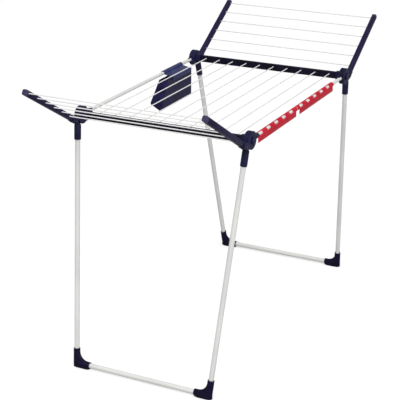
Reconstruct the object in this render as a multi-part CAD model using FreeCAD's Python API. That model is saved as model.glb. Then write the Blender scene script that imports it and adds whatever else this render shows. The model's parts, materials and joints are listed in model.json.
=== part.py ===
import FreeCAD, Part
import math
import os

os.makedirs("parts", exist_ok=True)

V = FreeCAD.Vector
ORIGIN = V(0, 0, 0)
ALONG_X = V(1, 0, 0)
ALONG_Y = V(0, 1, 0)
ALONG_Z = V(0, 0, 1)

# A wing clothes airer, in millimetres. X runs along the drying lines, Y across the
# rack and Z up, with the origin on the floor under the middle of the rack.

# The four hubs, on which the leg frames and the wings turn
HUB_HEIGHT = 920.0
HUB_X = 456.0
HUB_Y = 334.0
HUB_RADIUS = 32.5
HUB_EDGE = 1.5

# Layers of a hub across Y, from the middle of the rack outwards
CORNER_LAYER = (322.0, 329.6)
LEG_LAYER = (330.0, 337.2)
WING_LAYER = (337.6, 344.6)
RING_RAISE = 1.0
RING_RADII = (19.0, 24.0)

# Pivot bolt through the three layers, its nut and its outer cover
BOLT_RADIUS = 4.0
BOLT_CLEARANCE = 0.05
BOLT_INNER_END = 316.0
BOLT_HEAD = (345.0, 348.0)
BOLT_HEAD_RADIUS = 9.0
NUT_WIDTH = 13.0
NUT_SPAN = (316.5, 321.9)
NUT_POCKET_RADIUS = 8.0
CAP_SPAN = (345.2, 352.0)
CAP_RADIUS = 13.0
CAP_DOME = 3.0

# Long tubes of the top and the cross bars that hold the drying lines
RAIL_RADIUS = 6.75
RAIL_WALL = 1.0
RAIL_END = 36.0
SLEEVE_START = 34.0
SLEEVE_END = 61.0
SLEEVE_RADIUS = 9.0
RING_END = 41.0
PRONG = (6.0, 2.0)
PRONG_END = 57.0
BAR_SIZE = (14.0, 28.0)
BAR_CORNER = 3.5
BAR_WALL = 2.0
BAR_HALF_WIDTH = 311.0
COLLAR_WALL = 3.0
COLLAR_START = 303.0
SLIP = 0.05

# Coated steel drying lines
LINE_RADIUS = 1.95
LINE_PITCH = 61.0
LINE_PAIRS = 5
LINE_RISE = 3.6
LINE_GRIP = 6.0

# Leg frames: a splayed tube under each hub and a tube across between the feet
LEG_TOP_OFFSET = 24.0
LEG_FOOT_OFFSET = 191.0
FOOT_HALF_WIDTH = 272.0
LEG_TUBE_RADIUS = 9.5
LEG_TUBE_WALL = 1.2
SOCKET_RADIUS = 12.5
SOCKET_TOP = 28.0
SOCKET_END = 84.0
SOCKET_EDGE = 3.0
LEG_TUBE_TOP = 50.0
CROSSBAR_HEIGHT = 16.0
TUBE_SETBACK = 24.0

# Feet: an elbow with two sockets, a web in its corner and a sole with a rubber pad
FOOT_UPRIGHT = 57.0
FOOT_LEVEL = 57.0
FOOT_ARC = 36.0
FOOT_WEB_THICK = 17.0
FOOT_WEB_EASE = 6.0
SOLE_WIDTH = 19.0
SOLE_CORNER = 8.0
SOLE_BASE = 3.0
PAD_SIZE = (16.0, 52.0)

# Wings: an arm on each side of the rack, with lines across between the two arms
WING_ANGLE = 31.0
ARM_OFFSET = 31.0
ARM_LENGTH = 391.0
ARM_SECTION = (21.0, 20.0)
ARM_CORNER = 6.0
ARM_START = 34.0
ARM_CAP = 12.0
ARM_CAP_ROUND = 4.5
ARM_SOCKET = (29.0, 62.0)
ARM_SOCKET_WALL = 2.0
WING_LINE_FIRST = 16.0
WING_LINE_PITCH = 57.0
WING_LINES = 6

# Clip-on holders for small items, on the right-hand rail
CLIP_RADII = (7.1, 9.6)
CLIP_FROM = -28.0
CLIP_TO = 205.0
HOLDER_APRON = (9.5, 11.5)
HOLDER_APRON_DROP = 22.0
WINDOW_LENGTH = 32.0
WINDOW_PITCH = 68.0
WINDOWS = 5
WINDOW_TURN = (-8.0, 112.0)
WINDOW_CORNER = 5.0
HOLDER_NEAR = (-393.0, -54.0, -379.0, -410.0, -70.0)
HOLDER_FAR = (-46.0, 318.0, -11.0, -36.0, 304.0)

# Peg basket hung on the left-hand rail, wider at its foot than at its mouth
BASKET_X = 236.0
BASKET_HALF_MOUTH = 107.0
BASKET_FLARE = 0.24
BASKET_WALL = 2.0
BASKET_CORNER = 9.0
BASKET_MOUTH_IN = (-46.0, -12.0)
BASKET_FOOT_IN = (-29.0, -141.0)
BASKET_FOOT_OUT = (27.0, -114.0)
BASKET_MOUTH_OUT = (-4.0, -16.0)
HANGER_X = 251.0
HANGER_HALF = 79.0
HANGER_RADII = (7.2, 9.6)
HANGER_TURN = (-30.0, 205.0)
FLAP_OUTLINE = ((-8.2, -1.0), (-48.6, -9.6), (-47.4, -24.0), (-45.4, -24.0), (-46.3, -11.7), (-8.2, -5.0))

ENDS = (("near", -1), ("far", 1))
SIDES = (("left", 1), ("right", -1))

HUB = V(HUB_X, HUB_Y, HUB_HEIGHT)
LEG_TOP = V(HUB_X + LEG_TOP_OFFSET, HUB_Y, HUB_HEIGHT)
LEG_FOOT = V(HUB_X + LEG_FOOT_OFFSET, FOOT_HALF_WIDTH, 0)
LEG_DOWN = (LEG_FOOT - LEG_TOP).normalize()
ELBOW = LEG_TOP + (LEG_FOOT - LEG_TOP) * ((HUB_HEIGHT - CROSSBAR_HEIGHT) / HUB_HEIGHT)
WING_RISE = math.radians(WING_ANGLE)
ARM_AXIS = V(math.cos(WING_RISE), 0, math.sin(WING_RISE))
ARM_SIDE = V(math.sin(WING_RISE), 0, -math.cos(WING_RISE))
LEG_SPLAY = math.atan2(LEG_FOOT_OFFSET - LEG_TOP_OFFSET, HUB_HEIGHT)
LEG_SIDE = V(math.cos(LEG_SPLAY), 0, math.sin(LEG_SPLAY))


def save(shape, name):
    """Write one named sub-part."""
    shape.exportStep("parts/" + name + ".step")


def corner(shape, end, side):
    """Mirror a piece of the far left corner to another corner."""
    if end < 0:
        shape = shape.mirror(ORIGIN, ALONG_X)
    if side < 0:
        shape = shape.mirror(ORIGIN, ALONG_Y)
    return shape


def rod(start, end, radius):
    """A solid cylinder from one point to another."""
    axis = end - start
    return Part.makeCylinder(radius, axis.Length, start, axis)


def tube(start, end, radius, wall):
    """A hollow cylinder from one point to another."""
    return rod(start, end, radius).cut(rod(start, end, radius - wall))


def across(radius, span, centre=HUB):
    """A disc across Y, between the two Y values of its span."""
    start = V(centre.x, span[0], centre.z)
    return rod(start, V(centre.x, span[1], centre.z), radius)


def disc(span):
    """A hub disc with broken edges and a hole for the pivot bolt."""
    blank = across(HUB_RADIUS, span)
    rims = [edge for edge in blank.Edges if edge.Closed]
    blank = blank.makeChamfer(HUB_EDGE, rims)
    return blank.cut(across(BOLT_RADIUS + BOLT_CLEARANCE, span))


def bolt_hole(shape):
    """Clear the pivot bolt through a shape."""
    return shape.cut(across(BOLT_RADIUS + BOLT_CLEARANCE, (BOLT_INNER_END, WING_LAYER[1] + 9)))


def web(first, first_radius, second, second_radius, span):
    """A plate across Y with the outline of a belt round two circles."""
    gap = second - first
    turn = math.atan2(gap.z, gap.x)
    open_angle = math.acos((first_radius - second_radius) / math.hypot(gap.x, gap.z))

    def rim(centre, radius, angle):
        return V(centre.x + radius * math.cos(angle), span[0], centre.z + radius * math.sin(angle))

    a = rim(first, first_radius, turn + open_angle)
    b = rim(first, first_radius, turn + math.pi)
    c = rim(first, first_radius, turn - open_angle)
    d = rim(second, second_radius, turn - open_angle)
    e = rim(second, second_radius, turn)
    f = rim(second, second_radius, turn + open_angle)
    edges = [Part.Arc(a, b, c).toShape(), Part.LineSegment(c, d).toShape()]
    edges += [Part.Arc(d, e, f).toShape(), Part.LineSegment(f, a).toShape()]
    outline = Part.Face(Part.Wire(edges))
    return outline.extrude(V(0, span[1] - span[0], 0))


def rounded_bar(start, axis, side, length, size, radius):
    """A bar along an axis: size is its measure along side and along Y."""
    half_side = side * (size[0] / 2)
    half_y = ALONG_Y * (size[1] / 2)
    points = [start - half_side - half_y, start + half_side - half_y]
    points += [start + half_side + half_y, start - half_side + half_y]
    blank = Part.Face(Part.makePolygon(points + points[:1])).extrude(axis * length)
    long_edges = [edge for edge in blank.Edges if abs(edge.Length - length) < 0.001]
    return blank.makeFillet(radius, long_edges)


def rail(side):
    """One long tube of the top."""
    reach = HUB_X - RAIL_END
    start = V(-reach, side * HUB_Y, HUB_HEIGHT)
    return tube(start, V(reach, side * HUB_Y, HUB_HEIGHT), RAIL_RADIUS, RAIL_WALL)


def line_places():
    """Y of every line of the top."""
    return [side * LINE_PITCH * (k + 0.5) for side in (-1, 1) for k in range(LINE_PAIRS)]


def end_bar():
    """The hollow cross bar of the far end, drilled for the lines."""
    start = V(HUB_X, -BAR_HALF_WIDTH, HUB_HEIGHT)
    length = 2 * BAR_HALF_WIDTH
    half_x = ALONG_X * (BAR_SIZE[0] / 2)
    half_z = ALONG_Z * (BAR_SIZE[1] / 2)

    def section(inset):
        dx = half_x * (1 - 2 * inset / BAR_SIZE[0])
        dz = half_z * (1 - 2 * inset / BAR_SIZE[1])
        points = [start - dx - dz, start + dx - dz, start + dx + dz, start - dx + dz]
        return Part.Face(Part.makePolygon(points + points[:1])).extrude(ALONG_Y * length)

    outer = section(0)
    long_edges = [edge for edge in outer.Edges if abs(edge.Length - length) < 0.001]
    bar = outer.makeFillet(BAR_CORNER, long_edges).cut(section(BAR_WALL))
    inner_face = HUB_X - BAR_SIZE[0] / 2
    for y in line_places():
        start_hole = V(inner_face - 1, y, HUB_HEIGHT + LINE_RISE)
        bar = bar.cut(rod(start_hole, start_hole + ALONG_X * 6, LINE_RADIUS + SLIP))
    return bar


def main_lines():
    """The lines along the top, each a separate rod held in both end bars."""
    reach = HUB_X - BAR_SIZE[0] / 2 + LINE_GRIP
    height = HUB_HEIGHT + LINE_RISE
    rods = [rod(V(-reach, y, height), V(reach, y, height), LINE_RADIUS) for y in line_places()]
    return Part.makeCompound(rods)


def corner_hub(sleeve_end):
    """The fixed inner disc of a hub, with a sleeve for the rail and the end bar's collar."""
    rail_in = V(HUB_X - sleeve_end, HUB_Y, HUB_HEIGHT)
    rail_out = V(HUB_X - SLEEVE_START, HUB_Y, HUB_HEIGHT)
    sleeve = rod(rail_out, rail_in, SLEEVE_RADIUS)
    arm_corner = V(HUB_X - sleeve_end, CORNER_LAYER[0], HUB_HEIGHT - SLEEVE_RADIUS)
    layer = CORNER_LAYER[1] - CORNER_LAYER[0]
    arm = Part.makeBox(sleeve_end, layer, 2 * SLEEVE_RADIUS, arm_corner)
    shape = disc(CORNER_LAYER).fuse([arm, sleeve])
    collar = collar_block(COLLAR_WALL, COLLAR_START, CORNER_LAYER[0])
    shape = shape.fuse(collar)
    shape = shape.cut(collar_block(SLIP, COLLAR_START, BAR_HALF_WIDTH + SLIP))
    shape = shape.cut(across(NUT_POCKET_RADIUS, (NUT_SPAN[0] - 2, CORNER_LAYER[0])))
    shape = shape.cut(rod(V(HUB_X - RAIL_END + SLIP, HUB_Y, HUB_HEIGHT), rail_in, RAIL_RADIUS + SLIP))
    return bolt_hole(shape).removeSplitter()


def pronged_hub():
    """The far hub: a short ring round the rail, with a prong above and one below the tube."""
    prongs = []
    for rise in (RAIL_RADIUS + SLIP, -RAIL_RADIUS - SLIP - PRONG[1]):
        low = V(HUB_X - PRONG_END, HUB_Y - PRONG[0] / 2, HUB_HEIGHT + rise)
        prongs.append(Part.makeBox(PRONG_END - SLEEVE_START - 1, PRONG[0], PRONG[1], low))
    return corner_hub(RING_END).fuse(prongs).removeSplitter()


def collar_block(grow, start, end):
    """The end bar's outline, larger all round, between two Y values."""
    width = BAR_SIZE[0] + 2 * grow
    height = BAR_SIZE[1] + 2 * grow
    low = V(HUB_X - width / 2, start, HUB_HEIGHT - height / 2)
    blank = Part.makeBox(width, end - start, height, low)
    long_edges = [edge for edge in blank.Edges if abs(edge.Length - (end - start)) < 0.001]
    return blank.makeFillet(BAR_CORNER, long_edges)


def pivot_bolt():
    """Bolt that joins the three layers of a hub."""
    shank = across(BOLT_RADIUS, (BOLT_INNER_END, BOLT_HEAD[0]))
    return shank.fuse(across(BOLT_HEAD_RADIUS, BOLT_HEAD))


def pivot_nut():
    """Hexagon nut in the pocket behind the inner disc."""
    corner_radius = NUT_WIDTH / math.sqrt(3)
    points = []
    for k in range(7):
        angle = math.radians(60 * k)
        points.append(V(HUB_X + corner_radius * math.cos(angle), NUT_SPAN[0],
                        HUB_HEIGHT + corner_radius * math.sin(angle)))
    blank = Part.Face(Part.makePolygon(points)).extrude(ALONG_Y * (NUT_SPAN[1] - NUT_SPAN[0]))
    return blank.cut(across(BOLT_RADIUS + 0.02, NUT_SPAN))


def pivot_cap():
    """Domed cover over the bolt head."""
    blank = across(CAP_RADIUS, CAP_SPAN)
    outer = [edge for edge in blank.Edges if edge.Closed and edge.BoundBox.YMin > CAP_SPAN[1] - 0.1]
    blank = blank.makeFillet(CAP_DOME, outer)
    return blank.cut(across(BOLT_HEAD_RADIUS + SLIP, (CAP_SPAN[0], BOLT_HEAD[1] + SLIP)))


def leg_at(distance):
    """A point on the leg tube's axis, below its top."""
    return LEG_TOP + LEG_DOWN * distance


def leg_head():
    """The leg's disc with the socket that takes the leg tube."""
    shoulder = leg_at(SOCKET_TOP)
    socket = rod(shoulder, leg_at(SOCKET_END), SOCKET_RADIUS)
    top = max([edge for edge in socket.Edges if edge.Closed], key=lambda edge: edge.BoundBox.ZMin)
    socket = socket.makeFillet(SOCKET_EDGE, [top])
    belt = web(HUB + LEG_SIDE * 20, 12.0, leg_at(SOCKET_TOP + 14), SOCKET_RADIUS, LEG_LAYER)
    shape = disc(LEG_LAYER).fuse([belt, socket])
    shape = shape.cut(rod(leg_at(LEG_TUBE_TOP), leg_at(SOCKET_END + 1), LEG_TUBE_RADIUS + SLIP))
    return bolt_hole(shape).removeSplitter()


def leg_tube():
    """Steel tube from the leg head down into the foot."""
    end = ELBOW - LEG_DOWN * TUBE_SETBACK
    return tube(leg_at(LEG_TUBE_TOP), end, LEG_TUBE_RADIUS, LEG_TUBE_WALL)


def crossbar(end):
    """Steel tube between the two feet of a leg frame."""
    reach = ELBOW.y - TUBE_SETBACK
    start = V(end * ELBOW.x, -reach, CROSSBAR_HEIGHT)
    return tube(start, V(end * ELBOW.x, reach, CROSSBAR_HEIGHT), LEG_TUBE_RADIUS, LEG_TUBE_WALL)


def foot():
    """Moulded elbow that joins a leg tube to the crossbar, its corner filled by an arc."""
    up = LEG_DOWN * -1
    inward = ALONG_Y * -1
    shape = rod(ELBOW, ELBOW + up * FOOT_UPRIGHT, SOCKET_RADIUS)
    level = rod(ELBOW, ELBOW + inward * FOOT_LEVEL, SOCKET_RADIUS)
    ball = Part.makeSphere(SOCKET_RADIUS, ELBOW)
    reach = SOCKET_RADIUS + FOOT_ARC - 0.3
    centre = ELBOW + (inward + up) * reach
    low = centre - up * FOOT_ARC
    high = centre - inward * FOOT_ARC
    middle = centre - (inward + up).normalize() * FOOT_ARC
    corners = [high, ELBOW + up * reach, ELBOW, ELBOW + inward * reach, low]
    edges = [Part.LineSegment(a, b).toShape() for a, b in zip(corners, corners[1:])]
    edges.append(Part.Arc(low, middle, high).toShape())
    normal = inward.cross(up).normalize()
    gusset = Part.Face(Part.Wire(edges)).extrude(normal * FOOT_WEB_THICK)
    gusset.translate(normal * (-FOOT_WEB_THICK / 2))
    curved = [edge for edge in gusset.Edges if edge.Curve.TypeId == "Part::GeomCircle"]
    gusset = gusset.makeFillet(FOOT_WEB_EASE, curved)
    sole_end = ELBOW + inward * FOOT_LEVEL
    sole_length = FOOT_LEVEL + SOCKET_RADIUS
    sole_low = V(ELBOW.x - SOLE_WIDTH / 2, sole_end.y, SOLE_BASE)
    sole = Part.makeBox(SOLE_WIDTH, sole_length, CROSSBAR_HEIGHT - SOLE_BASE, sole_low)
    uprights = [edge for edge in sole.Edges if abs(edge.Length - (CROSSBAR_HEIGHT - SOLE_BASE)) < 0.001]
    sole = sole.makeFillet(SOLE_CORNER, uprights)
    shape = shape.fuse([level, ball, gusset, sole])
    bore = LEG_TUBE_RADIUS + SLIP
    shape = shape.cut(rod(ELBOW + up * TUBE_SETBACK, ELBOW + up * (FOOT_UPRIGHT + 1), bore))
    shape = shape.cut(rod(ELBOW + inward * TUBE_SETBACK, sole_end + inward, bore))
    below = Part.makeBox(200, 200, 50, V(ELBOW.x - 100, ELBOW.y - 100, SOLE_BASE - 50))
    return shape.cut(below).removeSplitter()


def foot_pad():
    """Rubber pad under the sole, flat on the floor."""
    middle_y = ELBOW.y - FOOT_LEVEL / 2 + SOCKET_RADIUS / 2
    low = V(ELBOW.x - PAD_SIZE[0] / 2, middle_y - PAD_SIZE[1] / 2, 0)
    pad = Part.makeBox(PAD_SIZE[0], PAD_SIZE[1], SOLE_BASE, low)
    uprights = [edge for edge in pad.Edges if abs(edge.Length - SOLE_BASE) < 0.001]
    return pad.makeFillet(3.0, uprights)


def arm_at(distance):
    """A point on the wing arm's axis, out from the hub."""
    return HUB + ARM_SIDE * ARM_OFFSET + ARM_AXIS * distance


def wing_line_places():
    """Distances of the wing's lines along the arm."""
    return [ARM_LENGTH - WING_LINE_FIRST - WING_LINE_PITCH * k for k in range(WING_LINES)]


def wing_hub():
    """The outer disc of a hub, with the socket that takes the wing arm."""
    wall = 2 * ARM_SOCKET_WALL
    size = (ARM_SECTION[0] + wall, ARM_SECTION[1] + wall)
    length = ARM_SOCKET[1] - ARM_SOCKET[0]
    radius = ARM_CORNER + ARM_SOCKET_WALL
    socket = rounded_bar(arm_at(ARM_SOCKET[0]), ARM_AXIS, ARM_SIDE, length, size, radius)
    belt = web(HUB + ARM_SIDE * 20, 12.0, arm_at(ARM_SOCKET[0] + 12), 12.0, WING_LAYER)
    ring = across(RING_RADII[1], (WING_LAYER[1] - 1, WING_LAYER[1] + RING_RAISE))
    ring = ring.cut(across(RING_RADII[0], (WING_LAYER[1] - 1, WING_LAYER[1] + RING_RAISE)))
    shape = disc(WING_LAYER).fuse([belt, socket, ring])
    slip = (ARM_SECTION[0] + 2 * SLIP, ARM_SECTION[1] + 2 * SLIP)
    bore = rounded_bar(arm_at(ARM_START), ARM_AXIS, ARM_SIDE, length, slip, ARM_CORNER)
    return bolt_hole(shape.cut(bore)).removeSplitter()


def wing_arm():
    """The arm's bar, drilled for the wing's lines."""
    length = ARM_LENGTH - ARM_CAP - ARM_START
    bar = rounded_bar(arm_at(ARM_START), ARM_AXIS, ARM_SIDE, length, ARM_SECTION, ARM_CORNER)
    inner_face = HUB_Y - ARM_SECTION[1] / 2
    for distance in wing_line_places():
        if distance < ARM_LENGTH - ARM_CAP:
            bar = bar.cut(line_hole(arm_at(distance), inner_face))
    return bar


def line_hole(point, inner_face):
    """Blind hole for a wing line, in the arm's inner face."""
    start = V(point.x, inner_face - 1, point.z)
    return rod(start, V(point.x, inner_face + LINE_GRIP + 1, point.z), LINE_RADIUS + SLIP)


def arm_cap():
    """Rounded plug that closes the arm's free end."""
    start = arm_at(ARM_LENGTH - ARM_CAP)
    blank = rounded_bar(start, ARM_AXIS, ARM_SIDE, ARM_CAP, ARM_SECTION, ARM_CORNER)
    far_face = max(blank.Faces, key=lambda face: (face.CenterOfMass - start).dot(ARM_AXIS))
    return blank.makeFillet(ARM_CAP_ROUND, far_face.Edges)


def wing_lines(end):
    """The lines of one wing, each a separate rod held in both arms."""
    reach = HUB_Y - ARM_SECTION[1] / 2 + LINE_GRIP
    rods = []
    for distance in wing_line_places():
        point = arm_at(distance)
        rods.append(rod(V(end * point.x, -reach, point.z), V(end * point.x, reach, point.z), LINE_RADIUS))
    return Part.makeCompound(rods)


def ring_sector(radii, start_angle, end_angle, x_start, x_end, y, outward):
    """Part of a tube along X; angles rise from outboard, over the top, to inboard."""
    def point(radius, angle):
        turn = math.radians(angle)
        return V(x_start, y + outward * radius * math.cos(turn), HUB_HEIGHT + radius * math.sin(turn))

    middle = (start_angle + end_angle) / 2
    outer = Part.Arc(*[point(radii[1], a) for a in (start_angle, middle, end_angle)]).toShape()
    inner = Part.Arc(*[point(radii[0], a) for a in (end_angle, middle, start_angle)]).toShape()
    first = Part.LineSegment(point(radii[1], end_angle), point(radii[0], end_angle)).toShape()
    last = Part.LineSegment(point(radii[0], start_angle), point(radii[1], start_angle)).toShape()
    face = Part.Face(Part.Wire([outer, first, inner, last]))
    return face.extrude(ALONG_X * (x_end - x_start))


def item_holder(places):
    """Clip over the right-hand rail, with windows and an apron hanging outboard."""
    clip_start, clip_end, first_window, apron_start, apron_end = places
    rail_y = -HUB_Y
    shape = ring_sector(CLIP_RADII, CLIP_FROM, CLIP_TO, clip_start, clip_end, rail_y, -1)
    apron_low = V(apron_start, rail_y - HOLDER_APRON[1], HUB_HEIGHT - HOLDER_APRON_DROP)
    apron_thick = HOLDER_APRON[1] - HOLDER_APRON[0]
    apron_tall = HOLDER_APRON_DROP - 1
    apron = Part.makeBox(apron_end - apron_start, apron_thick, apron_tall, apron_low)
    lip_start = max(apron_start, clip_start)
    lip_low = V(lip_start, rail_y - HOLDER_APRON[1], HUB_HEIGHT - 3.5)
    lip = Part.makeBox(min(apron_end, clip_end) - lip_start, 3.0, 2.5, lip_low)
    shape = shape.fuse([apron, lip])
    for k in range(WINDOWS):
        start = first_window + k * WINDOW_PITCH - WINDOW_LENGTH / 2
        radii = (CLIP_RADII[0] - 0.5, CLIP_RADII[1] + 2.5)
        hole = ring_sector(radii, WINDOW_TURN[0], WINDOW_TURN[1], start, start + WINDOW_LENGTH, rail_y, -1)
        thick = radii[1] - radii[0]
        corners = [edge for edge in hole.Edges if abs(edge.Length - thick) < 0.001]
        shape = shape.cut(hole.makeFillet(WINDOW_CORNER, corners))
    return shape.removeSplitter()


def yz_prism(points, x_start, x_end):
    """Extrude a YZ outline, given from the left-hand rail's axis, along X."""
    corners = [V(x_start, HUB_Y + y, HUB_HEIGHT + z) for y, z in points]
    return Part.Face(Part.makePolygon(corners + corners[:1])).extrude(ALONG_X * (x_end - x_start))


def basket_block(inset, top_rise):
    """The basket's outline as a solid, smaller all round by the inset."""
    mouth_in = (BASKET_MOUTH_IN[0] + inset, BASKET_MOUTH_IN[1] + top_rise)
    foot_in = (BASKET_FOOT_IN[0] + inset, BASKET_FOOT_IN[1] + 1.3 * inset)
    foot_out = (BASKET_FOOT_OUT[0] - inset, BASKET_FOOT_OUT[1] + 1.1 * inset)
    mouth_out = (BASKET_MOUTH_OUT[0] - inset, BASKET_MOUTH_OUT[1] + top_rise)
    prism = yz_prism([mouth_in, foot_in, foot_out, mouth_out], BASKET_X - 160, BASKET_X + 160)

    def half_length(z):
        return BASKET_HALF_MOUTH - BASKET_FLARE * z - inset

    low = -150.0
    high = 30.0
    corners = [(-half_length(low), low), (half_length(low), low)]
    corners += [(half_length(high), high), (-half_length(high), high)]
    points = [V(BASKET_X + x, HUB_Y - 100, HUB_HEIGHT + z) for x, z in corners]
    wedge = Part.Face(Part.makePolygon(points + points[:1])).extrude(ALONG_Y * 200)
    block = prism.common(wedge)
    top = HUB_HEIGHT + BASKET_MOUTH_OUT[1] + top_rise
    soft = [edge for edge in block.Edges if edge.BoundBox.ZMin < top - 20]
    return block.makeFillet(BASKET_CORNER - inset, soft)


def peg_basket():
    """Open-topped basket under the left-hand rail."""
    return basket_block(0, 0).cut(basket_block(BASKET_WALL, 15)).removeSplitter()


def basket_hanger():
    """Hook strip over the rail, with a flap down to the basket's inboard rim."""
    start = HANGER_X - HANGER_HALF
    end = HANGER_X + HANGER_HALF
    hook = ring_sector(HANGER_RADII, HANGER_TURN[0], HANGER_TURN[1], start, end, HUB_Y, 1)
    flap = yz_prism(FLAP_OUTLINE, start, end)
    return hook.fuse(flap).removeSplitter()


for side_name, side in SIDES:
    save(rail(side), "rail_" + side_name)
save(main_lines(), "main_lines")
save(item_holder(HOLDER_NEAR), "small_item_holder_near")
save(item_holder(HOLDER_FAR), "small_item_holder_far")
save(peg_basket(), "peg_basket")
save(basket_hanger(), "peg_basket_hanger")

CORNER_PIECES = (("leg_head", leg_head()), ("leg_tube", leg_tube()), ("foot", foot()),
                 ("wing_hub", wing_hub()), ("wing_arm", wing_arm()))
CORNER_HUBS = {"near": corner_hub(SLEEVE_END), "far": pronged_hub()}
FAR_BAR = end_bar()
for end_name, end in ENDS:
    save(corner(FAR_BAR, end, 1), "end_bar_" + end_name)
    save(crossbar(end), "leg_crossbar_" + end_name)
    save(wing_lines(end), "wing_lines_" + end_name)
    pads = [corner(foot_pad(), end, side) for side_name, side in SIDES]
    save(Part.makeCompound(pads), "foot_pads_" + end_name)
    caps = [corner(arm_cap(), end, side) for side_name, side in SIDES]
    save(Part.makeCompound(caps), "wing_arm_caps_" + end_name)
    for side_name, side in SIDES:
        save(corner(CORNER_HUBS[end_name], end, side), "corner_hub_" + end_name + "_" + side_name)
        for piece_name, piece in CORNER_PIECES:
            save(corner(piece, end, side), piece_name + "_" + end_name + "_" + side_name)

for name, piece in (("pivot_bolts", pivot_bolt()), ("pivot_nuts", pivot_nut()), ("pivot_caps", pivot_cap())):
    copies = [corner(piece, end, side) for end_name, end in ENDS for side_name, side in SIDES]
    save(Part.makeCompound(copies), name)
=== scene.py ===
import json
import math

import bmesh
import bpy
import numpy as np
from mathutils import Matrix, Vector


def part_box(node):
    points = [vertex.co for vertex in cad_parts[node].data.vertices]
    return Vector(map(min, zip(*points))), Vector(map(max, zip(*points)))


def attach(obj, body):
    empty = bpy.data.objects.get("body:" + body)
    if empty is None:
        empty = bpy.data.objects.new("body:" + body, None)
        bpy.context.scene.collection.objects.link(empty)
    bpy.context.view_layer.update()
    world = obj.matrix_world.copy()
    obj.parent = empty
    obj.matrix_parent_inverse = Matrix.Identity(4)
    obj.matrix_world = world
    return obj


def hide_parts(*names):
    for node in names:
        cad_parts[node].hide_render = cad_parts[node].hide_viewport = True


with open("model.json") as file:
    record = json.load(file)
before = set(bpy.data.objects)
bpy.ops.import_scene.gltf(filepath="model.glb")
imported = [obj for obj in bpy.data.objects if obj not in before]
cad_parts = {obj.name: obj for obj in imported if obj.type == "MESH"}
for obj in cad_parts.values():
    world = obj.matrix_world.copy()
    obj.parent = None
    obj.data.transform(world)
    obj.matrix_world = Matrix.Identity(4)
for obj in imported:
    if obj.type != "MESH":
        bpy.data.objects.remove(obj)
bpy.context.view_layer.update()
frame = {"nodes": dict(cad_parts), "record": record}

scene = bpy.context.scene

# ---- Floor, light and camera --------------------------------------------------------
# A plain pale studio floor that runs out of sight, a soft white surround, one broad lamp
# high up and two large soft ones. The camera is a long lens that looks down on the rack
# from the right of its near end.

PALE = (0.50, 0.50, 0.50, 1.0)
FLOOR_HALF_SIZE = 30.0
FLOOR_GLOW = 0.62
SURROUND = 0.42
HIGH_LAMP = {"slope": 62.0, "heading": 200.0, "spread": 50.0, "power": 1.30}
FRONT_LAMP = {"place": (-3.6, -2.2, 2.6), "aim": (-0.3, 0, 0.7), "size": 1.4, "power": 38}
SIDE_LAMP = {"place": (0.2, -3.6, 2.4), "aim": (0, 0, 0.6), "size": 1.6, "power": 16}


def studio_floor(half_size):
    """A square sheet at floor level, matt. It glows for the camera only, like a lit backdrop."""
    material = bpy.data.materials.new("pale_floor")
    material.use_nodes = True
    tree = material.node_tree
    shader = tree.nodes["Principled BSDF"]
    shader.inputs["Base Color"].default_value = PALE
    shader.inputs["Roughness"].default_value = 1.0
    shader.inputs["Specular IOR Level"].default_value = 0.0
    shader.inputs["Emission Color"].default_value = (1, 1, 1, 1)
    seen = tree.nodes.new("ShaderNodeLightPath")
    glow = tree.nodes.new("ShaderNodeMath")
    glow.operation = "MULTIPLY"
    glow.inputs[1].default_value = FLOOR_GLOW
    tree.links.new(seen.outputs["Is Camera Ray"], glow.inputs[0])
    tree.links.new(glow.outputs[0], shader.inputs["Emission Strength"])
    mesh = bpy.data.meshes.new("studio_floor")
    s = half_size
    mesh.from_pydata([(-s, -s, 0), (s, -s, 0), (s, s, 0), (-s, s, 0)], [], [(0, 1, 2, 3)])
    mesh.materials.append(material)
    floor = bpy.data.objects.new("studio_floor", mesh)
    scene.collection.objects.link(floor)


def soft_lamp(name, place, aim, size, power):
    """A square area lamp at a place, pointed at an aim."""
    light = bpy.data.lights.new(name, "AREA")
    light.shape = "SQUARE"
    light.size = size
    light.energy = power
    lamp = bpy.data.objects.new(name, light)
    lamp.location = place
    lamp.rotation_euler = (Vector(aim) - Vector(place)).to_track_quat("-Z", "Y").to_euler()
    scene.collection.objects.link(lamp)


def sky_lamp(name, slope, heading, spread, power):
    """A distant lamp, even over the whole floor, given by its slope and heading in degrees."""
    light = bpy.data.lights.new(name, "SUN")
    light.angle = math.radians(spread)
    light.energy = power
    lamp = bpy.data.objects.new(name, light)
    level, turn = math.cos(math.radians(slope)), math.radians(heading)
    back = Vector((math.cos(turn) * level, math.sin(turn) * level, math.sin(math.radians(slope))))
    lamp.rotation_euler = back.to_track_quat("Z", "Y").to_euler()
    scene.collection.objects.link(lamp)


def studio_world(strength):
    """Even surround: it lights the rack at this strength, and is plain white past the floor's edge."""
    world = bpy.data.worlds.new("studio")
    world.use_nodes = True
    tree = world.node_tree
    background = tree.nodes["Background"]
    background.inputs["Color"].default_value = (1, 1, 1, 1)
    seen = tree.nodes.new("ShaderNodeLightPath")
    level = tree.nodes.new("ShaderNodeMapRange")
    level.inputs["To Min"].default_value = strength
    level.inputs["To Max"].default_value = 1.0
    tree.links.new(seen.outputs["Is Camera Ray"], level.inputs["Value"])
    tree.links.new(level.outputs[0], background.inputs["Strength"])
    scene.world = world


studio_floor(FLOOR_HALF_SIZE)
studio_world(SURROUND)
sky_lamp("high_lamp", **HIGH_LAMP)
soft_lamp("front_lamp", **FRONT_LAMP)
soft_lamp("side_lamp", **SIDE_LAMP)
scene.view_settings.view_transform = "Standard"

CAMERA_TURN = math.radians(-63.625)
CAMERA_RISE = math.radians(21.009)
CAMERA_DISTANCE = 4.803
CAMERA_AIM = Vector((-0.1185, 0.0227, 0.5258))
CAMERA_LENS = 112.4


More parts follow.
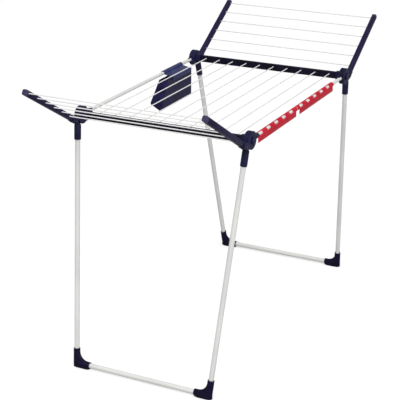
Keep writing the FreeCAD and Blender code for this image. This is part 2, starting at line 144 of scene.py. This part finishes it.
def product_camera():
    """A camera at the end of a radius about its aim, given by turn, rise and distance."""
    level = math.cos(CAMERA_RISE)
    back = Vector((math.sin(CAMERA_TURN) * level, -math.cos(CAMERA_TURN) * level, math.sin(CAMERA_RISE)))
    data = bpy.data.cameras.new("product_camera")
    data.lens = CAMERA_LENS
    data.sensor_width = 36.0
    data.clip_end = 200.0
    camera = bpy.data.objects.new("product_camera", data)
    camera.location = CAMERA_AIM + back * CAMERA_DISTANCE
    camera.rotation_euler = back.to_track_quat("Z", "Y").to_euler()
    scene.collection.objects.link(camera)
    scene.camera = camera


product_camera()

# ---- White tubes: the two rails, the leg tubes and the crossbars ---------------------
# Welded steel tube, bent nowhere, cut square, washed and powder coated in a warm white.
# The rails push into the hub sleeves, the leg tubes into the leg heads and the feet.

WHITE_COAT = (0.86, 0.865, 0.84, 1.0)
WHITE_COAT_LOW = (0.79, 0.795, 0.775, 1.0)
SCUFF_GREY = (0.36, 0.36, 0.35, 1.0)


def put(tree, kind, values=None, **settings):
    """Add a shader node; values gives each input, by name or place, a number or a link."""
    node = tree.nodes.new(kind)
    for key, value in settings.items():
        setattr(node, key, value)
    for key, value in (values or {}).items():
        socket = node.inputs[key]
        if isinstance(value, bpy.types.NodeSocket):
            tree.links.new(value, socket)
        else:
            socket.default_value = value
    return node


def tint(tree, factor, under, over):
    """Colour that goes from under to over as the factor goes from 0 to 1."""
    node = put(tree, "ShaderNodeMix", {0: factor, 6: under, 7: over}, data_type="RGBA")
    return node.outputs[2]


def span(tree, value, low, high, to_low, to_high):
    """Map a value from one range to another, held at both ends."""
    ends = {"Value": value, "From Min": low, "From Max": high, "To Min": to_low, "To Max": to_high}
    return put(tree, "ShaderNodeMapRange", ends, clamp=True).outputs[0]


def effect_group(name, inputs, outputs):
    """An empty shader group with named inputs (name, kind, value) and outputs (name, kind)."""
    group = bpy.data.node_groups.new(name, "ShaderNodeTree")
    for label, kind, value in inputs:
        socket = group.interface.new_socket(label, in_out="INPUT", socket_type="NodeSocket" + kind)
        if value is not None:
            socket.default_value = value
    for label, kind in outputs:
        group.interface.new_socket(label, in_out="OUTPUT", socket_type="NodeSocket" + kind)
    return group, group.nodes.new("NodeGroupInput"), group.nodes.new("NodeGroupOutput")


def skin_group():
    """Fine height of a surface skin, and a slow mottle over it, from two noises."""
    inputs = (("Place", "Vector", None), ("Fine", "Float", 900.0), ("Broad", "Float", 9.0))
    group, start, end = effect_group("surface_skin", inputs, (("Height", "Float"), ("Mottle", "Float")))
    place = start.outputs["Place"]
    fine_values = {"Vector": place, "Scale": start.outputs["Fine"], "Detail": 2.0}
    broad_values = {"Vector": place, "Scale": start.outputs["Broad"], "Detail": 3.0}
    fine = put(group, "ShaderNodeTexNoise", fine_values)
    broad = put(group, "ShaderNodeTexNoise", broad_values)
    group.links.new(fine.outputs[0], end.inputs["Height"])
    group.links.new(span(group, broad.outputs[0], 0.35, 0.65, 0.0, 1.0), end.inputs["Mottle"])
    return group


def scuff_group():
    """Short fine scratches in loose patches: a thin level of a stretched noise, inside blots."""
    stretch = (60.0, 900.0, 900.0)
    inputs = (("Place", "Vector", None), ("Stretch", "Vector", stretch), ("Patch", "Float", 16.0))
    group, start, end = effect_group("scuff_marks", inputs, (("Mask", "Float"),))
    place = start.outputs["Place"]
    drawn = put(group, "ShaderNodeVectorMath", {0: place, 1: start.outputs["Stretch"]}, operation="MULTIPLY")
    lines = put(group, "ShaderNodeTexNoise", {"Vector": drawn.outputs[0], "Scale": 1.0, "Detail": 1.0})
    blot_values = {"Vector": place, "Scale": start.outputs["Patch"], "Detail": 2.0}
    blots = put(group, "ShaderNodeTexNoise", blot_values)
    line = span(group, lines.outputs[0], 0.66, 0.74, 0.0, 1.0)
    blot = span(group, blots.outputs[0], 0.54, 0.66, 0.0, 1.0)
    mask = put(group, "ShaderNodeMath", {0: line, 1: blot}, operation="MULTIPLY")
    group.links.new(mask.outputs[0], end.inputs["Mask"])
    return group


SKIN = skin_group()
SCUFFS = scuff_group()


def finish_tree(name, turn=(0.0, 0.0, 0.0)):
    """A new material: its tree, its shader and its place in Object coordinates."""
    material = bpy.data.materials.new(name)
    material.use_nodes = True
    tree = material.node_tree
    shader = tree.nodes["Principled BSDF"]
    where = put(tree, "ShaderNodeTexCoord")
    mapped = put(tree, "ShaderNodeMapping", {"Vector": where.outputs["Object"], "Rotation": turn})
    return material, tree, shader, mapped.outputs[0]


def use_group(tree, group, values):
    """Place a shader group in a material; values sets or links its inputs by name."""
    node = tree.nodes.new("ShaderNodeGroup")
    node.node_tree = group
    for key, value in values.items():
        if isinstance(value, bpy.types.NodeSocket):
            tree.links.new(value, node.inputs[key])
        else:
            node.inputs[key].default_value = value
    return node


def relief(tree, shader, height, strength, depth):
    """Bump the surface by a height, at most depth metres."""
    bump = put(tree, "ShaderNodeBump", {"Height": height, "Strength": strength, "Distance": depth})
    tree.links.new(bump.outputs[0], shader.inputs["Normal"])


def powder_coat(name, turn):
    """Warm white coat: slow mottle in tone and gloss, orange peel, a few grey scuffs."""
    material, tree, shader, place = finish_tree(name, turn)
    skin = use_group(tree, SKIN, {"Place": place, "Fine": 650.0, "Broad": 8.0})
    marks = use_group(tree, SCUFFS, {"Place": place, "Stretch": (40.0, 1300.0, 1300.0), "Patch": 8.0})
    coat = tint(tree, skin.outputs["Mottle"], WHITE_COAT_LOW, WHITE_COAT)
    faint = span(tree, marks.outputs["Mask"], 0.0, 1.0, 0.0, 0.35)
    tree.links.new(tint(tree, faint, coat, SCUFF_GREY), shader.inputs["Base Color"])
    tree.links.new(span(tree, skin.outputs["Mottle"], 0.0, 1.0, 0.30, 0.40), shader.inputs["Roughness"])
    relief(tree, shader, skin.outputs["Height"], 0.25, 0.00015)
    return material


def dress(node, material):
    """Give a CAD node, kept as it is, its finish."""
    mesh = frame["nodes"][node].data
    mesh.materials.clear()
    mesh.materials.append(material)


COAT_ALONG_X = powder_coat("white_coat_along_x", (0.0, 0.0, 0.0))
COAT_ALONG_Y = powder_coat("white_coat_along_y", (0.0, 0.0, math.radians(90)))
COAT_ALONG_Z = powder_coat("white_coat_along_z", (0.0, math.radians(90), 0.0))

ENDS = ("near", "far")
SIDES = ("left", "right")
for side in SIDES:
    dress("rail_" + side, COAT_ALONG_X)
for end in ENDS:
    dress("leg_crossbar_" + end, COAT_ALONG_Y)
    for side in SIDES:
        dress("leg_tube_" + end + "_" + side, COAT_ALONG_Z)

# ---- Drying lines: ten along the top and six across each wing ------------------------
# Straight drawn steel wire in a smooth white plastic coat, cut to length and pushed into
# the drilled bars and arms. Stiff rods, so they don't sag.

LINE_COAT = (0.97, 0.97, 0.96, 1.0)
LINE_COAT_LOW = (0.93, 0.93, 0.92, 1.0)


def line_coat(name, turn):
    """Smooth plastic coat with faint drawing marks along the wire."""
    material, tree, shader, place = finish_tree(name, turn)
    skin = use_group(tree, SKIN, {"Place": place, "Fine": 1500.0, "Broad": 30.0})
    tree.links.new(tint(tree, skin.outputs["Mottle"], LINE_COAT_LOW, LINE_COAT), shader.inputs["Base Color"])
    tree.links.new(span(tree, skin.outputs["Mottle"], 0.0, 1.0, 0.26, 0.36), shader.inputs["Roughness"])
    relief(tree, shader, skin.outputs["Height"], 0.03, 0.00002)
    return material


dress("main_lines", line_coat("line_coat_along_x", (0.0, 0.0, 0.0)))
LINE_COAT_ACROSS = line_coat("line_coat_along_y", (0.0, 0.0, math.radians(90)))
for end in ENDS:
    dress("wing_lines_" + end, LINE_COAT_ACROSS)

# ---- Cross bars that hold the lines --------------------------------------------------
# Hollow moulded bars in navy polypropylene, drilled along one face for the lines. Each
# end sits in the collar of a corner hub.

NAVY = (0.0022, 0.0018, 0.0090, 1.0)
NAVY_PALE = (0.0065, 0.0055, 0.0220, 1.0)
NAVY_EDGE = (0.026, 0.026, 0.064, 1.0)
BODY_OF = {n: b for b, ns in frame["record"]["behaviour"]["bodies"].items() for n in ns}


def worn_highlit_edges_group():
    """Pale edges, partly rubbed wear and partly a painted highlight: how far the normal averaged over a
    small radius leans from the true one.
    """
    group, start, end = effect_group("worn_edges_and_painted_highlight", (("Radius", "Float", 0.001),), (("Mask", "Float"),))
    eased = put(group, "ShaderNodeBevel", {"Radius": start.outputs["Radius"]}, samples=4)
    shape = put(group, "ShaderNodeNewGeometry")
    lean = put(group, "ShaderNodeVectorMath", {0: eased.outputs[0], 1: shape.outputs["Normal"]},
               operation="DOT_PRODUCT")
    group.links.new(span(group, lean.outputs["Value"], 0.99, 0.85, 0.0, 1.0), end.inputs["Mask"])
    return group


WORN_HIGHLIT_EDGES = worn_highlit_edges_group()


def moulding(name, deep, pale, edge, roughness, fine=1300.0, broad=24.0, grain=0.3, turn=(0, 0, 0)):
    """Moulded plastic: flow mottle in tone and gloss, spark grain, scuffs, and pale edges that are partly
    rubbed wear and partly a painted highlight.
    """
    material, tree, shader, place = finish_tree(name, turn)
    skin = use_group(tree, SKIN, {"Place": place, "Fine": fine, "Broad": broad})
    marks = use_group(tree, SCUFFS, {"Place": place, "Stretch": (70.0, 1100.0, 1100.0), "Patch": 20.0})
    edges = use_group(tree, WORN_HIGHLIT_EDGES, {"Radius": 0.0012})
    # Edges are tinted towards the pale edge colour. This is partly rubbed wear and partly a painted
    # highlight along them.
    edge_wear_and_highlight = span(tree, edges.outputs["Mask"], 0.0, 1.0, 0.0, 0.55)
    faint = span(tree, marks.outputs["Mask"], 0.0, 1.0, 0.0, 0.4)
    body = tint(tree, skin.outputs["Mottle"], deep, pale)
    body = tint(tree, faint, body, edge)
    tree.links.new(tint(tree, edge_wear_and_highlight, body, edge), shader.inputs["Base Color"])
    low, high = roughness - 0.05, roughness + 0.07
    tree.links.new(span(tree, skin.outputs["Mottle"], 0.0, 1.0, low, high), shader.inputs["Roughness"])
    shader.inputs["Specular IOR Level"].default_value = 0.14
    relief(tree, shader, skin.outputs["Height"], grain, 0.0002)
    return material


def merged_copy(node, join_flats):
    """A copy of a CAD node's mesh as one skin, its flat faces joined if asked."""
    mesh = frame["nodes"][node].data.copy()
    work = bmesh.new()
    work.from_mesh(mesh)
    bmesh.ops.remove_doubles(work, verts=work.verts, dist=0.000005)
    if join_flats:
        verts, edges = list(work.verts), list(work.edges)
        bmesh.ops.dissolve_limit(work, angle_limit=math.radians(1.0), verts=verts, edges=edges)
    work.to_mesh(mesh)
    work.free()
    return mesh


def softened(node, name, round_width, finish, join_flats=True):
    """A moulding's copy with rounded edges: a bevel of two steps on every edge over 28 degrees."""
    mesh = merged_copy(node, join_flats)
    mesh.name = name
    mesh.materials.clear()
    mesh.materials.append(finish)
    mesh.shade_smooth()
    piece = bpy.data.objects.new(name, mesh)
    scene.collection.objects.link(piece)
    bevel = piece.modifiers.new("rounded_edges", "BEVEL")
    bevel.width = round_width
    bevel.segments = 2
    bevel.limit_method = "ANGLE"
    bevel.angle_limit = math.radians(28)
    bevel.harden_normals = True
    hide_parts(node)
    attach(piece, BODY_OF[node])
    return piece


ACROSS = (0, 0, math.radians(90))
BAR_PLASTIC = moulding("navy_bar_plastic", NAVY, NAVY_PALE, NAVY_EDGE, 0.42, turn=ACROSS)
for end in ENDS:
    softened("end_bar_" + end, "end_bar_" + end + "_moulding", 0.0005, BAR_PLASTIC)

# ---- Hubs: corner hubs, leg heads, wing hubs -----------------------------------------
# Three moulded discs in nylon turn on one bolt at each corner. The inner one holds the
# rail and the cross bar, the middle one the leg tube, the outer one the wing arm.

HUB_NAVY = (0.0088, 0.0084, 0.038, 1.0)
HUB_PALE = (0.0180, 0.0175, 0.068, 1.0)
HUB_EDGE = (0.080, 0.080, 0.175, 1.0)
HUB_PLASTIC = moulding("navy_hub_plastic", HUB_NAVY, HUB_PALE, HUB_EDGE, 0.38)
# Each hub's edge rounding, and whether its flats are joined first. The flats round the
# wing hub's neck fold over one another when they are joined, so they are left apart.
HUB_EDGES = (("corner_hub_", 0.0004, True), ("leg_head_", 0.0005, True), ("wing_hub_", 0.0004, False))
for end in ENDS:
    for side in SIDES:
        for kind, width, join_flats in HUB_EDGES:
            node = kind + end + "_" + side
            softened(node, node + "_moulding", width, HUB_PLASTIC, join_flats)
softened("pivot_caps", "pivot_caps_moulding", 0.0004, HUB_PLASTIC)

# ---- Pivot bolts and nuts ------------------------------------------------------------
# Bright zinc-plated steel, pressed home at each hub; the head is under its cover and the
# nut in a pocket of the corner hub.

ZINC = (0.56, 0.57, 0.58, 1.0)
ZINC_DULL = (0.40, 0.41, 0.43, 1.0)


def zinc_plate(name):
    """Plated steel: dull and bright spangle, light scratches."""
    material, tree, shader, place = finish_tree(name)
    skin = use_group(tree, SKIN, {"Place": place, "Fine": 1600.0, "Broad": 260.0})
    marks = use_group(tree, SCUFFS, {"Place": place, "Stretch": (300.0, 3000.0, 3000.0), "Patch": 90.0})
    plate = tint(tree, skin.outputs["Mottle"], ZINC_DULL, ZINC)
    tree.links.new(tint(tree, marks.outputs["Mask"], plate, ZINC_DULL), shader.inputs["Base Color"])
    tree.links.new(span(tree, skin.outputs["Mottle"], 0.0, 1.0, 0.25, 0.42), shader.inputs["Roughness"])
    shader.inputs["Metallic"].default_value = 1.0
    relief(tree, shader, skin.outputs["Height"], 0.2, 0.0001)
    return material


PLATE = zinc_plate("zinc_plate")
softened("pivot_bolts", "pivot_bolts_plated", 0.0003, PLATE)
softened("pivot_nuts", "pivot_nuts_plated", 0.0002, PLATE)

# ---- Wing arms and their end caps ----------------------------------------------------
# Rounded extruded bars in navy plastic, drilled on the inner face, closed at the free
# end by a pushed-in cap.

ARM_NAVY = (0.0100, 0.0068, 0.040, 1.0)
ARM_PALE = (0.0180, 0.0125, 0.065, 1.0)
CAP_NAVY = (0.034, 0.032, 0.080, 1.0)
CAP_PALE = (0.070, 0.068, 0.140, 1.0)
ARM_PLASTIC = moulding("navy_arm_plastic", ARM_NAVY, ARM_PALE, HUB_EDGE, 0.40)
CAP_PLASTIC = moulding("arm_cap_plastic", CAP_NAVY, CAP_PALE, HUB_EDGE, 0.36)
for end in ENDS:
    softened("wing_arm_caps_" + end, "wing_arm_caps_" + end + "_moulding", 0.0004, CAP_PLASTIC)
    for side in SIDES:
        where = end + "_" + side
        softened("wing_arm_" + where, "wing_arm_" + where + "_moulding", 0.0004, ARM_PLASTIC)

# ---- Feet and their pads -------------------------------------------------------------
# Moulded elbows that take the leg tube and the crossbar, with a curved web in the corner
# and a soft rubber pad pressed under the sole.

FOOT_NAVY = (0.0030, 0.0010, 0.0140, 1.0)
FOOT_PALE = (0.0075, 0.0028, 0.0300, 1.0)
FOOT_EDGE = (0.042, 0.030, 0.095, 1.0)
RUBBER = (0.012, 0.012, 0.014, 1.0)
RUBBER_PALE = (0.030, 0.030, 0.032, 1.0)
FOOT_PLASTIC = moulding("navy_foot_plastic", FOOT_NAVY, FOOT_PALE, FOOT_EDGE, 0.45, grain=0.4)
PAD_RUBBER = moulding("pad_rubber", RUBBER, RUBBER_PALE, RUBBER_PALE, 0.78, fine=2200.0, grain=0.5)
for end in ENDS:
    softened("foot_pads_" + end, "foot_pads_" + end + "_rubber", 0.0005, PAD_RUBBER)
    for side in SIDES:
        where = end + "_" + side
        softened("foot_" + where, "foot_" + where + "_moulding", 0.0009, FOOT_PLASTIC)

# ---- Peg basket and its hanger -------------------------------------------------------
# A thin-walled ribbed tub moulded in navy polypropylene, with a bead round its rim. It
# hangs under the left-hand rail from a hook strip in a paler blue, whose sloping flap
# covers most of the mouth and grips the inboard rim.

BASKET_NAVY = (0.0085, 0.0075, 0.0400, 1.0)
BASKET_PALE = (0.0210, 0.0190, 0.0850, 1.0)
HANGER_BLUE = (0.026, 0.031, 0.108, 1.0)
HANGER_PALE = (0.050, 0.058, 0.175, 1.0)
BASKET_PLASTIC = moulding("navy_basket_plastic", BASKET_NAVY, BASKET_PALE, HUB_EDGE, 0.40)
HANGER_PLASTIC = moulding("blue_hanger_plastic", HANGER_BLUE, HANGER_PALE, HUB_EDGE, 0.36)
RAIL_AXIS = np.array([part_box("rail_left")[0][k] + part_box("rail_left")[1][k] for k in (1, 2)]) / 2
TUB_CENTRE = sum(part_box("peg_basket")[k][0] for k in (0, 1)) / 2
# The mouth and the foot are each an inboard and an outboard point, as Y and Z from the
# rail's axis. The tub is TUB_HALF long each way at that axis, and longer lower down.
TUB_MOUTH = np.array(((-0.046, -0.012), (-0.004, -0.016)))
TUB_FOOT = np.array(((-0.029, -0.141), (0.027, -0.114)))
TUB_HALF = 0.107
TUB_FLARE = 0.24
TUB_CORNER = 0.009
TUB_WALL = 0.002
TUB_TALL = 0.130
TUB_SKIN = 0.001
FOOT_ROUND = 0.008
FLAT_INSET = 0.020
FOOT_INSET = 0.0095
FOOT_DRAW = 0.0085
WALL_LOW = 0.010
RIM_DROP = 0.006
BEAD_DROP = 0.0022
BEAD_TALL = 0.0020
BEAD_INSET = 0.0020
BEAD_DEEP = 0.0018
CORNER_LEAST = 0.0015
BEND_STEPS = 8
WALL_STEPS = 44
INNER_STEPS = 12
BEAD_STEPS = 9
LONG_STEPS = 160
SHORT_STEPS = 16
BAND_FADE = 0.04
RIB_PITCH = 0.0125
RIB_DEPTH = 0.0008
RIB_BANDS = ((0.12, 0.46), (0.54, 0.86))
RIB_REACH = 0.97
SQUARE_ON = 0.99


def tub_ring():
    """Once round a rounded oblong: how far along each side, and the outward direction, per point."""
    quarter = np.linspace(0, np.pi / 2, BEND_STEPS, endpoint=False)
    long_side = np.linspace(1, -1, LONG_STEPS, endpoint=False)
    short_side = np.linspace(1, -1, SHORT_STEPS, endpoint=False)
    reach, out = [], []
    for turn, (sx, sy) in enumerate(((1, 1), (-1, 1), (-1, -1), (1, -1))):
        angle = quarter + turn * np.pi / 2
        reach.append(np.tile((sx, sy), (BEND_STEPS, 1)))
        out.append(np.stack([np.cos(angle), np.sin(angle)], 1))
        if turn % 2 == 0:
            reach.append(np.stack([long_side * sx, np.full(LONG_STEPS, sy)], 1))
            out.append(np.tile((0, sy), (LONG_STEPS, 1)))
        else:
            reach.append(np.stack([np.full(SHORT_STEPS, sx), short_side * sy], 1))
            out.append(np.tile((sx, 0), (SHORT_STEPS, 1)))
    return np.concatenate(reach).astype(float), np.concatenate(out).astype(float)


def tub_profile():
    """Height and inset: a rounded foot, a straight wall, an arc for the rim's bead, the wall
    back down on the inside, and a rounded inner floor."""
    rim = TUB_TALL - RIM_DROP
    bend = np.linspace(0, np.pi / 2, BEND_STEPS)
    under = np.array([[0.0, FLAT_INSET]])
    foot = np.stack([FOOT_ROUND * (1 - np.cos(bend)), FOOT_INSET - FOOT_DRAW * np.sin(bend)], 1)
    wall = np.stack([np.linspace(WALL_LOW, rim, WALL_STEPS), np.full(WALL_STEPS, TUB_SKIN)], 1)
    turn = np.linspace(-np.pi / 3, np.pi, BEAD_STEPS)
    bead_height = TUB_TALL - BEAD_DROP + BEAD_TALL * np.sin(turn)
    bead = np.stack([bead_height, BEAD_INSET - BEAD_DEEP * np.cos(turn)], 1)
    inner_wall = np.full(INNER_STEPS, TUB_SKIN + TUB_WALL)
    inner = np.stack([np.linspace(rim, WALL_LOW, INNER_STEPS), inner_wall], 1)
    floor_height = TUB_WALL + FOOT_ROUND * (1 - np.sin(bend))
    floor = np.stack([floor_height, FOOT_INSET + TUB_WALL - FOOT_DRAW * np.cos(bend)], 1)
    inside = np.array([[TUB_WALL, FLAT_INSET]])
    return np.concatenate([under, foot, wall, bead, inner, floor, inside])


def rib_depths(level, along, reach, out):
    """A raised cosine along the long outer walls, faded in and out at each band of levels."""
    row = np.arange(len(level))[:, None]
    outer_wall = (row > BEND_STEPS) & (row <= BEND_STEPS + WALL_STEPS)
    band = sum(np.clip((level - low) / BAND_FADE, 0, 1) * np.clip((high - level) / BAND_FADE, 0, 1)
               for low, high in RIB_BANDS)
    depth = RIB_DEPTH * (0.5 - 0.5 * np.cos(2 * np.pi * along / RIB_PITCH)) * band * outer_wall
    long_wall = np.abs(out[:, 1]) > SQUARE_ON
    clear_of_corners = np.abs(reach[:, 0]) < RIB_REACH
    return depth * long_wall * clear_of_corners


def ribbed_tub():
    """The profile carried round the oblong from foot to mouth, its long walls drawn in by the ribs."""
    reach, out = tub_ring()
    profile = tub_profile()
    level = (profile[:, 0] / TUB_TALL)[:, None]
    inset = profile[:, 1][:, None]
    inboard, outboard = TUB_FOOT[:, None, None] + level[:, :, None] * (TUB_MOUTH - TUB_FOOT)[:, None, None]
    middle, half = (inboard + outboard) / 2, (outboard - inboard) / 2
    deep = np.linalg.norm(half, axis=2)
    outward = half / deep[:, :, None]
    corner = np.maximum(TUB_CORNER - inset, CORNER_LEAST)
    across = reach[:, 1] * (deep - inset - corner) + out[:, 1] * corner
    place = middle + outward * across[:, :, None]
    wide = TUB_HALF - TUB_FLARE * place[:, :, 1] - inset
    along = reach[:, 0] * (wide - corner) + out[:, 0] * corner
    rib = rib_depths(level, along, reach, out)
    place = place - outward * (rib * np.sign(out[:, 1]))[:, :, None]
    points = np.stack([TUB_CENTRE + along, RAIL_AXIS[0] + place[:, :, 0], RAIL_AXIS[1] + place[:, :, 1]], 2)
    here = np.arange(along.size).reshape(along.shape)
    nxt = np.roll(here, -1, axis=1)
    quads = np.stack([here[:-1], nxt[:-1], nxt[1:], here[1:]], 2).reshape(-1, 4).tolist()
    return points.reshape(-1, 3), quads + [here[0, ::-1].tolist(), here[-1].tolist()]


def closed_piece(name, points, faces, finish):
    """A piece from points and faces, turned to face outwards, smooth, with its finish."""
    mesh = bpy.data.meshes.new(name)
    mesh.from_pydata(points.tolist(), [], faces)
    work = bmesh.new()
    work.from_mesh(mesh)
    bmesh.ops.recalc_face_normals(work, faces=list(work.faces))
    work.to_mesh(mesh)
    work.free()
    mesh.materials.append(finish)
    mesh.shade_smooth()
    piece = bpy.data.objects.new(name, mesh)
    scene.collection.objects.link(piece)
    return piece


tub = closed_piece("peg_basket_tub", *ribbed_tub(), BASKET_PLASTIC)
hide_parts("peg_basket")
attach(tub, BODY_OF["peg_basket"])
softened("peg_basket_hanger", "peg_basket_hook_strip", 0.0004, HANGER_PLASTIC)

# ---- Holders for small items ---------------------------------------------------------
# Crimson clip-on saddles over the right-hand rail, with five windows each and an apron
# that hangs outboard.

CRIMSON = (0.56, 0.006, 0.026, 1.0)
CRIMSON_PALE = (0.68, 0.012, 0.040, 1.0)
# Pale pink for the scuffs and the edges. On the thin bridges between the windows it is a painted highlight
# of the gloss.
CRIMSON_SCUFF_AND_HIGHLIGHT = (0.80, 0.14, 0.19, 1.0)
HOLDER_PLASTIC = moulding("crimson_holder_plastic", CRIMSON, CRIMSON_PALE, CRIMSON_SCUFF_AND_HIGHLIGHT, 0.36)
for end in ENDS:
    softened("small_item_holder_" + end, "small_item_holder_" + end + "_moulding", 0.0003, HOLDER_PLASTIC)
